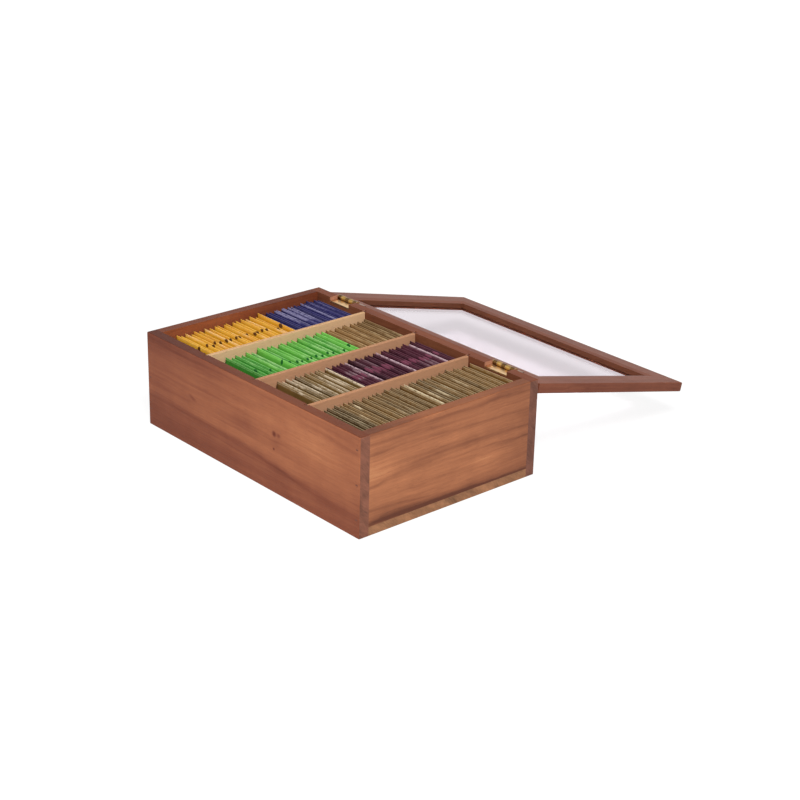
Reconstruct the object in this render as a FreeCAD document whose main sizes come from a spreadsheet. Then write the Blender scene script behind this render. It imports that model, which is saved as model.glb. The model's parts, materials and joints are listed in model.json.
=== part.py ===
import FreeCAD, Part
import math
import os
import Sketcher

# A low wooden tea chest with a glazed, hinged lid. It is shown with the lid laid open behind it.
# Frame: origin at the centre of the base, +X along the length, -Y towards the front, +Z up.

SIZES = {
    # carcass
    "box_length": 300,
    "box_depth": 200,
    "box_height": 90,
    "board_thickness": 10,
    "panel_thickness": 8,
    "edge_round": 1,
    # dividers and the grooves that hold them
    "divider_thickness": 3.5,
    "divider_drop": 0.8,
    "divider_round": 0.5,
    "dado_depth": 3,
    "dado_clearance": 0.1,
    # flat-sided brads through the long boards into the end boards
    "brad_inset": 4,
    "brad_low": 16,
    "brad_high": 12,
    "brad_length": 28,
    "brad_width": 1.6,
    "brad_thickness": 1.2,
    "brad_head_width": 2.6,
    "brad_head_depth": 0.8,
    "brad_clearance": 0.05,
    # hinges
    "hinge_length": 27,
    "hinge_inset": 43,
    "hinge_setback": 1.4,
    "barrel_radius": 2.5,
    "leaf_thickness": 1.2,
    "knuckle_gap": 0.3,
    "pin_clearance": 0.05,
    "notch_clearance": 0.25,
    # countersunk screws
    "screw_spacing": 16,
    "screw_head_diameter": 4.4,
    "screw_diameter": 2,
    "screw_length": 9,
    "lid_screw_length": 6.5,
    "screw_clearance": 0.05,
    "countersink_angle": 90,
    "slot_width": 0.6,
    "slot_depth": 0.5,
    # lid: how far it stays in from the box's ends, back and front, and above the rim
    "lid_end_inset": 0.5,
    "lid_rear_inset": 0.1,
    "lid_front_inset": 1.4,
    "lid_gap": 0.2,
    "lid_thickness": 9,
    "rail_width": 25,
    "bevel_width": 6,
    "bevel_drop": 1,
    "groove_depth": 5,
    "pane_thickness": 1.8,
    "pane_lip": 1.2,
    "pane_clearance": 0.1,
    "stop_gap": 0.3,
    # paper sachets
    "sachet_thickness": 3.2,
    "sachet_edge": 0.8,
    "sachet_lean": 9,
    "olive_lean": 5,
    "sachet_room": 2.2,
    "sachet_drop": 6,
    "sachet_seat": 0.3,
    "green_lead": 4,
    "khaki_lead": 5.5,
    "yellow_gap": 1.7,
    "blue_gap": 0.7,
    "green_gap": 2.1,
    "tan_gap": 1.1,
    "khaki_gap": 1.6,
    "plum_gap": 1.1,
    "olive_gap": 1.1,
    # cutters run past the solid by this much
    "overrun": 2,
}

COMPARTMENTS = 4
KNUCKLES = 5
BOX_KNUCKLES = (0, 2, 4)
LID_KNUCKLES = (1, 3)
BRADS_PER_JOINT = 3
HINGES = 2
SCREWS_PER_LEAF = 2
FULL_TURN = 360

# Two places closer than this are the same, and an edge whose span along an axis is over this
# share of its length runs along that axis.
SAME_PLACE = 1e-6
STRAIGHT_SHARE = 0.99

doc = FreeCAD.newDocument("tea_chest")
sheet = doc.addObject("Spreadsheet::Sheet", "dims")
for row, (alias, number) in enumerate(SIZES.items(), start=1):
    sheet.set(f"A{row}", alias)
    sheet.set(f"B{row}", str(number))
    sheet.setAlias(f"B{row}", alias)
doc.recompute()


def value(expression):
    """The number that an expression in the sheet's aliases gives."""
    result = sheet.evalExpression(expression)
    return float(getattr(result, "Value", result))


# Places and sizes that several pieces share, as expressions in the sheet's aliases.
INNER_DEPTH = "(dims.box_depth - 2 * dims.board_thickness)"
DIVIDER_PITCH = f"((dims.box_length - 2 * dims.board_thickness + dims.divider_thickness) / {COMPARTMENTS})"
COMPARTMENT_WIDTH = f"({DIVIDER_PITCH} - dims.divider_thickness)"
DADO_WIDTH = "(dims.divider_thickness + 2 * dims.dado_clearance)"
AXIS_Y = "(dims.box_depth / 2 + dims.hinge_setback)"
AXIS_Z = "(dims.box_height + dims.lid_gap - dims.barrel_radius)"
NOTCH_DEPTH = "(2 * dims.barrel_radius - dims.lid_gap)"
KNUCKLE_PITCH = f"(dims.hinge_length / {KNUCKLES})"
BORE_RADIUS = "(dims.barrel_radius - dims.leaf_thickness)"
LEAF_REACH = "(dims.board_thickness + dims.hinge_setback)"
SCREW_PLACE = "(dims.hinge_setback + dims.board_thickness / 2)"
HINGE_SPAN = "(dims.box_length - 2 * dims.hinge_inset)"
LID_LENGTH = "(dims.box_length - 2 * dims.lid_end_inset)"
LID_DEPTH = "(dims.box_depth - dims.lid_rear_inset - dims.lid_front_inset)"

# The open lid as seen from the pin: where its rear edge is, out along the lid, and how deep its
# outer face lies below the pin. It stops with the rounded edge there just clear of the back board.
LID_BACK = "(dims.hinge_setback + dims.lid_rear_inset)"
LID_FLOOR = "(dims.barrel_radius + dims.lid_thickness)"
ROUND_OUT = f"({LID_BACK} + dims.edge_round)"
ROUND_DOWN = f"({LID_FLOOR} - dims.edge_round)"
ROUND_STOP = "(dims.edge_round + dims.stop_gap - dims.hinge_setback)"
LID_TILT = (
    f"(acos({ROUND_STOP} / hypot({ROUND_OUT}; {ROUND_DOWN})) / 1 deg"
    f" - atan2({ROUND_DOWN}; {ROUND_OUT}) / 1 deg)"
)

ALONG = FreeCAD.Vector(1, 0, 0)
UPRIGHT = FreeCAD.Vector(0, 0, 1)

nodes = []


def register(piece, label):
    """Name a finished sub-part; its label is its file's name."""
    piece.Label = label
    nodes.append(piece)


def bind(target, bindings):
    """Bind properties of a document object to expressions."""
    for name, expression in bindings.items():
        target.setExpression(name, expression)


def place(piece, base, axis=None, angle=None):
    """Put a sub-part at base, turned by an angle about an axis through it."""
    if axis is not None:
        piece.Placement = FreeCAD.Placement(FreeCAD.Vector(), FreeCAD.Rotation(axis, value(angle)))
        piece.setExpression("Placement.Rotation.Angle", f"({angle}) * 1 deg")
    for name, expression in zip("xyz", base):
        piece.setExpression(f"Placement.Base.{name}", expression)


def origin_feature(body, role):
    """One of the body's own origin planes or axes."""
    return next(item for item in body.Origin.OriginFeatures if item.Role == role)


def new_body():
    """An empty body that may hold several solids, as a set of brads does."""
    body = doc.addObject("PartDesign::Body", "Body")
    body.AllowCompound = True
    return body


def new_sketch(body, role, shift=("0", "0", "0")):
    """A sketch on one of the body's own origin planes, shifted in the plane's own frame."""
    sketch = body.newObject("Sketcher::SketchObject", "Sketch")
    sketch.AttachmentSupport = [(origin_feature(body, role), "")]
    sketch.MapMode = "FlatFace"
    for name, expression in zip("xyz", shift):
        if expression != "0":
            sketch.setExpression(f"AttachmentOffset.Base.{name}", expression)
    return sketch


def fix_point(sketch, geometry, point, spot):
    """Hold one point of a sketch at a pair of expressions."""
    kinds = (("DistanceX", -2), ("DistanceY", -1))
    for (kind, axis), expression in zip(kinds, spot):
        if expression == "0":
            sketch.addConstraint(Sketcher.Constraint("PointOnObject", geometry, point, axis))
        else:
            constraint = Sketcher.Constraint(kind, -1, 1, geometry, point, value(expression))
            index = sketch.addConstraint(constraint)
            sketch.setExpression(f"Constraints[{index}]", expression)


def add_polygon(sketch, points):
    """A closed outline through points given as pairs of expressions."""
    spots = [FreeCAD.Vector(value(x), value(y), 0) for x, y in points]
    lines = []
    for index, spot in enumerate(spots):
        lines.append(sketch.addGeometry(Part.LineSegment(spot, spots[(index + 1) % len(spots)])))
    for index, line in enumerate(lines):
        following = lines[(index + 1) % len(lines)]
        sketch.addConstraint(Sketcher.Constraint("Coincident", line, 2, following, 1))
        fix_point(sketch, line, 1, points[index])


def add_rectangle(sketch, x0, y0, x1, y1):
    add_polygon(sketch, [(x0, y0), (x1, y0), (x1, y1), (x0, y1)])


def add_rectangles(sketch, spots, width, height):
    """A rectangle of the same size about each spot."""
    for x, y in spots:
        low = (f"({x} - {width} / 2)", f"({y} - {height} / 2)")
        high = (f"({x} + {width} / 2)", f"({y} + {height} / 2)")
        add_rectangle(sketch, *low, *high)


def add_circle(sketch, centre, radius):
    middle = FreeCAD.Vector(value(centre[0]), value(centre[1]), 0)
    circle = sketch.addGeometry(Part.Circle(middle, UPRIGHT, value(radius)))
    index = sketch.addConstraint(Sketcher.Constraint("Radius", circle, value(radius)))
    sketch.setExpression(f"Constraints[{index}]", radius)
    fix_point(sketch, circle, 3, centre)


def extrude(body, kind, sketch, length, backwards=False):
    """A Pad or Pocket of a sketch; it has to add or take away material."""
    before = body.Shape.Volume if body.Tip else 0
    feature = body.newObject(f"PartDesign::{kind}", kind)
    feature.Profile = sketch
    feature.Reversed = backwards
    feature.setExpression("Length", length)
    doc.recompute()
    change = body.Shape.Volume - before
    if (change > 0) != (kind == "Pad"):
        raise RuntimeError(f"{kind} of {sketch.Name} changes the volume by {change}")
    return feature


def pad(body, sketch, length, backwards=False):
    return extrude(body, "Pad", sketch, length, backwards)


def pocket(body, sketch, length, backwards=False):
    return extrude(body, "Pocket", sketch, length, backwards)


def round_edges(body, radius, wanted):
    """A Fillet of the edges of the body's tip that pass a test."""
    base = body.Tip
    names = [f"Edge{index}" for index, edge in enumerate(base.Shape.Edges, start=1) if wanted(edge)]
    if not names:
        raise RuntimeError(f"no edge to round on {body.Name}")
    fillet = body.newObject("PartDesign::Fillet", "Fillet")
    fillet.Base = (base, names)
    fillet.setExpression("Radius", radius)
    doc.recompute()


def runs_along(edge, axis):
    """True for a straight edge along one of the axes 0, 1 or 2."""
    box = edge.BoundBox
    spans = (box.XLength, box.YLength, box.ZLength)
    return spans[axis] > STRAIGHT_SHARE * edge.Length and isinstance(edge.Curve, Part.Line)


def middle_of(edge):
    return edge.BoundBox.Center


def close_to(number, expression):
    return abs(number - value(expression)) < SAME_PLACE


def brad_heights():
    """Heights of the brads above the base, evenly spaced."""
    step = f"(dims.box_height - dims.brad_low - dims.brad_high) / {BRADS_PER_JOINT - 1}"
    return [f"(dims.brad_low + {index} * {step})" for index in range(BRADS_PER_JOINT)]


def brad_spots():
    """Places of the brads on a long board's outer face."""
    columns = ("dims.brad_inset", "(dims.box_length - dims.brad_inset)")
    return [(x, height) for x in columns for height in brad_heights()]


def hinge_centres():
    """Places of the hinges along a long board."""
    return [f"(dims.hinge_inset + {index} * {HINGE_SPAN})" for index in range(HINGES)]


def screw_offsets():
    """Places of a leaf's screws along it, from its middle."""
    return ["- dims.screw_spacing / 2", "+ dims.screw_spacing / 2"]


def long_board(label, base, turn, with_notches):
    """A front or back board: its outer face is at its own y = 0 and its foot at z = 0."""
    body = new_body()
    outline = new_sketch(body, "XY_Plane")
    add_rectangle(outline, "0", "0", "dims.box_length", "dims.board_thickness")
    pad(body, outline, "dims.box_height")

    def rounded(edge):
        spot = middle_of(edge)
        outer = close_to(spot.y, "0")
        rim = close_to(spot.z, "dims.box_height")
        if runs_along(edge, 1):
            return rim
        return outer and (rim or runs_along(edge, 2))

    round_edges(body, "dims.edge_round", rounded)

    dados = new_sketch(body, "XY_Plane", ("0", "0", "dims.panel_thickness"))
    for index in range(1, COMPARTMENTS):
        centre = f"(dims.board_thickness - dims.divider_thickness / 2 + {index} * {DIVIDER_PITCH})"
        floor = "(dims.board_thickness - dims.dado_depth)"
        mouth = "(dims.board_thickness + dims.overrun)"
        sides = (f"({centre} - {DADO_WIDTH} / 2)", f"({centre} + {DADO_WIDTH} / 2)")
        add_rectangle(dados, sides[0], floor, sides[1], mouth)
    pocket(body, dados, "dims.box_height", backwards=True)

    for width, depth in (
        ("(dims.brad_width + 2 * dims.brad_clearance)", "dims.board_thickness"),
        ("(dims.brad_head_width + 2 * dims.brad_clearance)", "dims.brad_head_depth"),
    ):
        holes = new_sketch(body, "XZ_Plane")
        add_rectangles(holes, brad_spots(), width, "(dims.brad_thickness + 2 * dims.brad_clearance)")
        pocket(body, holes, depth)

    if with_notches:
        cut_notches(body)
    register(body, label)
    place(body, base, UPRIGHT, turn)


def cut_notches(body):
    """The hinge notches through a long board's top edge, with their screws' pilot holes."""
    floor = f"(dims.box_height - {NOTCH_DEPTH})"
    top = "(dims.box_height + dims.overrun)"
    half = "(dims.hinge_length / 2 + dims.notch_clearance)"
    notches = new_sketch(body, "XZ_Plane")
    for centre in hinge_centres():
        add_rectangle(notches, f"({centre} - {half})", floor, f"({centre} + {half})", top)
    pocket(body, notches, "dims.board_thickness")

    pilots = new_sketch(body, "XY_Plane", ("0", "0", floor))
    for centre in hinge_centres():
        for offset in screw_offsets():
            spot = (f"({centre} {offset})", "(dims.board_thickness / 2)")
            add_circle(pilots, spot, "(dims.screw_diameter / 2 + dims.screw_clearance)")
    pocket(body, pilots, "dims.screw_length")


def end_board(label, base, turn):
    """An end board: its outer face is at its own x = 0, and it stands on the bottom panel."""
    height = "(dims.box_height - dims.panel_thickness)"
    body = new_body()
    outline = new_sketch(body, "XY_Plane")
    add_rectangle(outline, "0", "0", "dims.board_thickness", INNER_DEPTH)
    pad(body, outline, height)

    def rounded(edge):
        spot = middle_of(edge)
        return runs_along(edge, 1) and close_to(spot.z, height) and close_to(spot.x, "0")

    round_edges(body, "dims.edge_round", rounded)

    reach = "(dims.brad_length - dims.board_thickness + dims.overrun)"
    spots = [("dims.brad_inset", f"({height} - dims.panel_thickness)") for height in brad_heights()]
    for shift, backwards in (("0", False), (f"-{INNER_DEPTH}", True)):
        holes = new_sketch(body, "XZ_Plane", ("0", "0", shift))
        add_rectangles(
            holes,
            spots,
            "(dims.brad_width + 2 * dims.brad_clearance)",
            "(dims.brad_thickness + 2 * dims.brad_clearance)",
        )
        pocket(body, holes, reach, backwards)
    register(body, label)
    place(body, base, UPRIGHT, turn)


def bottom_panel():
    body = new_body()
    outline = new_sketch(body, "XY_Plane")
    add_rectangle(outline, "0", "0", "dims.box_length", INNER_DEPTH)
    pad(body, outline, "dims.panel_thickness")
    register(body, "bottom_panel")
    place(body, ("-dims.box_length / 2", f"-{INNER_DEPTH} / 2", "0"))


def divider(index):
    """A thin board in the grooves of the front and back boards, a little below the rim."""
    length = f"({INNER_DEPTH} + 2 * dims.dado_depth - 2 * dims.dado_clearance)"
    height = "(dims.box_height - dims.panel_thickness - dims.divider_drop)"
    body = new_body()
    outline = new_sketch(body, "XY_Plane")
    add_rectangle(outline, "0", "0", "dims.divider_thickness", length)
    pad(body, outline, height)
    round_edges(
        body,
        "dims.divider_round",
        lambda edge: runs_along(edge, 1) and close_to(middle_of(edge).z, height),
    )
    register(body, f"divider_{index}")
    steps = f"({index} - {COMPARTMENTS} / 2)"
    across = f"{steps} * {DIVIDER_PITCH} - dims.divider_thickness / 2"
    place(body, (across, f"-{length} / 2", "dims.panel_thickness"))


def brad_set(label, base, turn):
    """The headed brads that hold a long board to the end boards."""
    body = new_body()
    for width, depth in (
        ("dims.brad_head_width", "dims.brad_head_depth"),
        ("dims.brad_width", "dims.brad_length"),
    ):
        sections = new_sketch(body, "XZ_Plane")
        add_rectangles(sections, brad_spots(), width, "dims.brad_thickness")
        pad(body, sections, depth, backwards=True)
    register(body, label)
    place(body, base, UPRIGHT, turn)


def leaf_section(sketch):
    """A leaf's plate lying on the wood, with its end rolled up into the barrel round the pin."""
    radius = value("dims.barrel_radius")
    plate = value("dims.leaf_thickness")
    reach = value(LEAF_REACH)
    neck = math.sqrt(radius ** 2 - (radius - plate) ** 2)
    barrel = Part.Circle(FreeCAD.Vector(0, radius, 0), UPRIGHT, radius)
    curl = sketch.addGeometry(Part.ArcOfCircle(barrel, math.atan2(plate - radius, neck), 1.5 * math.pi))

    corners = [(0, 0), (reach, 0), (reach, plate), (neck, plate)]
    corners = [FreeCAD.Vector(x, y, 0) for x, y in corners]
    under, tip, over = [
        sketch.addGeometry(Part.LineSegment(start, end)) for start, end in zip(corners, corners[1:])
    ]
    chain = (curl, under, tip, over, curl)
    for first, second in zip(chain, chain[1:]):
        sketch.addConstraint(Sketcher.Constraint("Coincident", first, 2, second, 1))
    sketch.addConstraint(Sketcher.Constraint("Coincident", under, 1, -1, 1))
    sketch.addConstraint(Sketcher.Constraint("Horizontal", over))
    fix_point(sketch, curl, 3, ("0", "dims.barrel_radius"))
    fix_point(sketch, under, 2, (LEAF_REACH, "0"))
    fix_point(sketch, tip, 2, (LEAF_REACH, "dims.leaf_thickness"))
    add_circle(sketch, ("0", "dims.barrel_radius"), BORE_RADIUS)


def hinge_leaf(label, base, axis, turn, knuckles):
    """A leaf with its knuckles. Own frame: y = 0 under the pin, z = 0 on the wood, plate along +y."""
    body = new_body()
    section = new_sketch(body, "YZ_Plane")
    leaf_section(section)
    pad(body, section, "dims.hinge_length")

    room = "(dims.barrel_radius + dims.knuckle_gap)"
    gaps = new_sketch(body, "XY_Plane", ("-dims.overrun", f"-{room}", "0"))
    for index in range(KNUCKLES):
        if index not in knuckles:
            low = f"(dims.overrun + {index} * {KNUCKLE_PITCH} - dims.knuckle_gap / 2)"
            high = f"(dims.overrun + {index + 1} * {KNUCKLE_PITCH} + dims.knuckle_gap / 2)"
            add_rectangle(gaps, low, "0", high, f"(2 * {room})")
    pocket(body, gaps, "(2 * dims.barrel_radius + dims.overrun)", backwards=True)

    holes = new_sketch(body, "XY_Plane", ("0", "0", "dims.leaf_thickness"))
    for offset in screw_offsets():
        spot = (f"(dims.hinge_length / 2 {offset})", SCREW_PLACE)
        add_circle(holes, spot, "dims.screw_diameter / 2")
    doc.recompute()
    countersink(body, holes)
    register(body, label)
    place(body, base, axis, turn)


def countersink(body, holes):
    """Countersunk screw holes through a leaf, as wide at the top as the screw's head."""
    before = body.Shape.Volume
    feature = body.newObject("PartDesign::Hole", "Hole")
    feature.Profile = holes
    doc.recompute()
    feature.ThreadType = 0
    feature.HoleCutType = "Countersink"
    feature.DepthType = "Dimension"
    feature.DrillPoint = 0
    bind(feature, {
        "Diameter": "dims.screw_diameter + 2 * dims.screw_clearance",
        "Depth": "dims.leaf_thickness + dims.overrun",
        "HoleCutDiameter": "dims.screw_head_diameter + 2 * dims.screw_clearance",
        "HoleCutCountersinkAngle": "dims.countersink_angle",
    })
    doc.recompute()
    if body.Shape.Volume >= before:
        raise RuntimeError("the countersinks cut nothing")


def hinge_pin(label, base):
    """A plain pin, as long as the barrel that it fills."""
    body = new_body()
    circle = new_sketch(body, "YZ_Plane")
    add_circle(circle, ("0", "0"), f"({BORE_RADIUS} - dims.pin_clearance)")
    pad(body, circle, "dims.hinge_length")
    register(body, label)
    place(body, base)


def repeat_along(body, length, occurrences):
    """A linear pattern along the body's X axis, for use in a MultiTransform."""
    pattern = body.newObject("PartDesign::LinearPattern", "LinearPattern")
    pattern.Direction = (origin_feature(body, "X_Axis"), [""])
    pattern.setExpression("Length", length)
    pattern.Occurrences = occurrences
    return pattern


def screw_set(label, base, axis, turn, length):
    """Slotted, countersunk screws for the leaves of both hinges, heads flush. Own frame: a leaf's."""
    head = "(dims.screw_head_diameter / 2)"
    shank = "(dims.screw_diameter / 2)"
    cone = f"(({head} - {shank}) / tan(dims.countersink_angle / 2))"
    first = "(dims.hinge_length - dims.screw_spacing) / 2"
    body = new_body()
    profile = new_sketch(body, "XZ_Plane", (first, f"dims.leaf_thickness - {length}", f"-{SCREW_PLACE}"))
    add_polygon(profile, [
        ("0", "0"),
        (shank, "0"),
        (shank, f"({length} - {cone})"),
        (head, length),
        ("0", length),
    ])
    turned = body.newObject("PartDesign::Revolution", "Revolution")
    turned.Profile = profile
    turned.ReferenceAxis = (profile, ["V_Axis"])
    turned.Angle = FULL_TURN
    doc.recompute()

    corner = (f"{first} - {head}", f"{SCREW_PLACE} - dims.slot_width / 2", "dims.leaf_thickness")
    slot = new_sketch(body, "XY_Plane", corner)
    add_rectangle(slot, "0", "0", "dims.screw_head_diameter", "dims.slot_width")
    cut = pocket(body, slot, "dims.slot_depth")

    copies = body.newObject("PartDesign::MultiTransform", "MultiTransform")
    copies.Originals = [turned, cut]
    copies.Transformations = [
        repeat_along(body, "dims.screw_spacing", SCREWS_PER_LEAF),
        repeat_along(body, HINGE_SPAN, HINGES),
    ]
    body.Tip = copies
    doc.recompute()
    register(body, label)
    place(body, base, axis, turn)


def lid_point(out, up):
    """Y and Z of a point of the opened lid, out from the pin along it and up square to it."""
    y = f"{AXIS_Y} + ({out}) * cos({LID_TILT}) + ({up}) * sin({LID_TILT})"
    z = f"{AXIS_Z} - ({out}) * sin({LID_TILT}) + ({up}) * cos({LID_TILT})"
    return y, z


def hinges():
    """Two butt hinges: fixed leaves and pins, leaves that open with the lid, and their screws."""
    seat_z = f"({AXIS_Z} - dims.barrel_radius)"
    lid_seat = lid_point("0", "-dims.barrel_radius")
    for side, centre in zip(("left", "right"), hinge_centres()):
        low_end = f"({centre} - dims.box_length / 2 - dims.hinge_length / 2)"
        high_end = f"({centre} - dims.box_length / 2 + dims.hinge_length / 2)"
        fixed = (high_end, AXIS_Y, seat_z)
        hinge_leaf(f"box_leaf_{side}", fixed, UPRIGHT, "180", BOX_KNUCKLES)
        hinge_pin(f"hinge_pin_{side}", (low_end, AXIS_Y, AXIS_Z))
        hinge_leaf(f"lid_leaf_{side}", (low_end, *lid_seat), ALONG, f"-{LID_TILT}", LID_KNUCKLES)

    reach = f"({HINGE_SPAN} / 2 + dims.hinge_length / 2)"
    screw_set("box_screws", (reach, AXIS_Y, seat_z), UPRIGHT, "180", "dims.screw_length")
    screw_set("lid_screws", (f"-{reach}", *lid_seat), ALONG, f"-{LID_TILT}", "dims.lid_screw_length")


def place_on_lid(piece):
    """Lid pieces are drawn lying open: own origin at the lid's left rear corner, outer face down."""
    y, z = lid_point(LID_BACK, f"-{LID_FLOOR}")
    place(piece, (f"-{LID_LENGTH} / 2", y, z), ALONG, f"-{LID_TILT}")


def lid_rail(label, across, far_side):
    """A mitred rail with the pane's groove and a shallow bevel along its inner edge.

    across is the axis, 0 or 1, that runs from the rail's outer edge to the pane."""
    wide = "dims.rail_width"
    span = (LID_LENGTH, LID_DEPTH)[across]
    run = (LID_LENGTH, LID_DEPTH)[1 - across]
    outer = span if far_side else "0"
    wall = f"({span} - {wide})" if far_side else wide
    ledge = f"({wide} - dims.bevel_width)"
    if far_side:
        ledge = f"({span} - {ledge})"

    corners = [(outer, "0"), (wall, wide), (wall, f"({run} - {wide})"), (outer, run)]
    if across == 1:
        corners = [(along, inward) for inward, along in corners]
    body = new_body()
    outline = new_sketch(body, "XY_Plane")
    add_polygon(outline, corners)
    pad(body, outline, "dims.lid_thickness")
    round_edges(
        body,
        "dims.edge_round",
        lambda edge: runs_along(edge, 1 - across) and close_to(middle_of(edge)[across], outer),
    )

    margin = f"({wide} - dims.groove_depth)"
    groove = new_sketch(body, "XY_Plane", ("0", "0", "dims.pane_lip"))
    add_rectangle(groove, margin, margin, f"({LID_LENGTH} - {margin})", f"({LID_DEPTH} - {margin})")
    pocket(body, groove, "(dims.pane_thickness + 2 * dims.pane_clearance)", backwards=True)

    bevel = new_sketch(body, ("XZ_Plane", "YZ_Plane")[across])
    above = "(dims.lid_thickness + dims.overrun)"
    low_edge = "(dims.lid_thickness - dims.bevel_drop)"
    add_polygon(bevel, [(ledge, "dims.lid_thickness"), (wall, low_edge), (wall, above), (ledge, above)])
    pocket(body, bevel, run, backwards=across == 1)

    if label == "lid_rear_rail":
        bore_pilots(body)
    register(body, label)
    place_on_lid(body)


def bore_pilots(rail):
    """Pilot holes for the hinge screws in the lid's rear rail."""
    pilots = new_sketch(rail, "XY_Plane", ("0", "0", "dims.lid_thickness"))
    for centre in hinge_centres():
        for offset in screw_offsets():
            spot = (f"({centre} {offset} - dims.lid_end_inset)", f"({SCREW_PLACE} - {LID_BACK})")
            add_circle(pilots, spot, "(dims.screw_diameter / 2 + dims.screw_clearance)")
    pocket(rail, pilots, "dims.lid_screw_length")


def lid_pane():
    body = new_body()
    margin = "(dims.rail_width - dims.groove_depth + dims.pane_clearance)"
    outline = new_sketch(body, "XY_Plane", ("0", "0", "dims.pane_lip + dims.pane_clearance"))
    add_rectangle(outline, margin, margin, f"({LID_LENGTH} - {margin})", f"({LID_DEPTH} - {margin})")
    pad(body, outline, "dims.pane_thickness")
    register(body, "lid_pane")
    place_on_lid(body)


# Sachets stand like file cards, one behind the other, leaning back. Each row has its lean and the
# place of its first foot, and names its kinds from the front: the node, its share of the row's
# length and the least gap between two sachets of the kind.
ROWS = (
    ("sachet_lean", "sachet_seat", (
        ("sachets_yellow", 0.58, "yellow_gap"),
        ("sachets_blue", 0.42, "blue_gap"),
    )),
    ("sachet_lean", "green_lead", (
        ("sachets_green", 0.69, "green_gap"),
        ("sachets_tan", 0.31, "tan_gap"),
    )),
    ("sachet_lean", "khaki_lead", (
        ("sachets_khaki", 0.35, "khaki_gap"),
        ("sachets_plum", 0.65, "plum_gap"),
    )),
    ("olive_lean", "sachet_seat", (
        ("sachets_olive", 1.0, "olive_gap"),
    )),
)
# Nobody lines sachets up: heights are shares of the tallest, side steps are shares of the side room.
HEIGHT_SHARES = (1.0, 0.985, 0.992, 0.98, 0.99, 0.984, 0.995, 0.988)
SIDE_SHARES = (0.0, 0.5, -0.3, 0.7, -0.6, 0.2, -0.1)


def sachet(foot, height, side, lean):
    """One envelope, its foot at y = foot: the filling has settled, and the crimped top is thin."""
    thickness = value("dims.sachet_thickness")
    edge = value("dims.sachet_edge")
    width = value(f"{COMPARTMENT_WIDTH} - 2 * dims.sachet_room")
    middle = thickness / 2
    outline = [(0, 0), (thickness, 0), (middle + edge / 2, height), (middle - edge / 2, height)]
    lift = value("dims.sachet_seat") + thickness * math.sin(lean)
    corners = []
    for across, up in outline:
        y = foot + across * math.cos(lean) + up * math.sin(lean)
        z = lift - across * math.sin(lean) + up * math.cos(lean)
        corners.append(FreeCAD.Vector(side - width / 2, y, z))
    face = Part.Face(Part.makePolygon(corners + corners[:1]))
    return face.extrude(FreeCAD.Vector(width, 0, 0))


def sachet_row(compartment, lean_name, lead_name, kinds):
    """The sachets of one compartment, kind after kind from its front to its back wall."""
    lean = math.radians(value(f"dims.{lean_name}"))
    lead = value(f"dims.{lead_name}")
    thickness = value("dims.sachet_thickness")
    room = value("dims.sachet_room")
    seat = value("dims.sachet_seat")
    rim = value("dims.box_height - dims.panel_thickness - dims.sachet_drop")
    tallest = (rim - seat) / math.cos(lean)
    run = value(INNER_DEPTH) - seat - lead - thickness - tallest * math.sin(lean)

    steps = []
    labels = []
    for label, share, gap in kinds:
        pitch = (thickness + value(f"dims.{gap}")) / math.cos(lean)
        count = max(1, int(share * run / pitch))
        steps += [pitch] * count
        labels += [label] * count
    stretch = max(1, run / max(sum(steps[:-1]), SAME_PLACE))

    groups = {}
    foot = lead
    for turn, (label, step) in enumerate(zip(labels, steps)):
        height = tallest * HEIGHT_SHARES[turn % len(HEIGHT_SHARES)]
        side = room * SIDE_SHARES[turn % len(SIDE_SHARES)]
        groups.setdefault(label, []).append(sachet(foot, height, side, lean))
        foot += step * stretch
    for label, envelopes in groups.items():
        group = doc.addObject("Part::Feature", "Sachets")
        group.Shape = Part.makeCompound(envelopes)
        register(group, label)
        across = f"({compartment} - ({COMPARTMENTS} - 1) / 2) * {DIVIDER_PITCH}"
        place(group, (across, f"-{INNER_DEPTH} / 2", "dims.panel_thickness"))


def build():
    half_length = "dims.box_length / 2"
    half_depth = "dims.box_depth / 2"
    front = (f"-{half_length}", f"-{half_depth}", "0")
    back = (half_length, half_depth, "0")
    long_board("front_board", front, "0", with_notches=False)
    long_board("back_board", back, "180", with_notches=True)
    inner = f"({half_depth} - dims.board_thickness)"
    end_board("left_end_board", (f"-{half_length}", f"-{inner}", "dims.panel_thickness"), "0")
    end_board("right_end_board", (half_length, inner, "dims.panel_thickness"), "180")
    bottom_panel()
    for index in range(1, COMPARTMENTS):
        divider(index)
    brad_set("front_brads", front, "0")
    brad_set("back_brads", back, "180")
    hinges()
    lid_rail("lid_rear_rail", 1, far_side=False)
    lid_rail("lid_front_rail", 1, far_side=True)
    lid_rail("lid_left_rail", 0, far_side=False)
    lid_rail("lid_right_rail", 0, far_side=True)
    lid_pane()
    for compartment, row in enumerate(ROWS):
        sachet_row(compartment, *row)


def check_and_export():
    """Stop on any failed object or bad shape, then write each sub-part to its own file."""
    doc.recompute()
    for item in doc.Objects:
        if "Invalid" in item.State or "Error" in item.State:
            raise RuntimeError(f"{item.Name} ({item.Label}) is {item.State}")
    for node in nodes:
        if node.Shape.isNull() or not node.Shape.isValid():
            raise RuntimeError(f"{node.Label} has a bad shape")
    os.makedirs("parts", exist_ok=True)
    for node in nodes:
        node.Shape.exportStep(f"parts/{node.Label}.step")
        print(node.Label, len(node.Shape.Solids), "solids", round(node.Shape.Volume, 1))


build()
check_and_export()
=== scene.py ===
"""The looks of a glazed-lid tea chest: stained boards, brass hinges, a clear pane, rows of sachets."""

import json
import math
import random

import bmesh
import bpy
from mathutils import Matrix, Vector, noise

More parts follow.
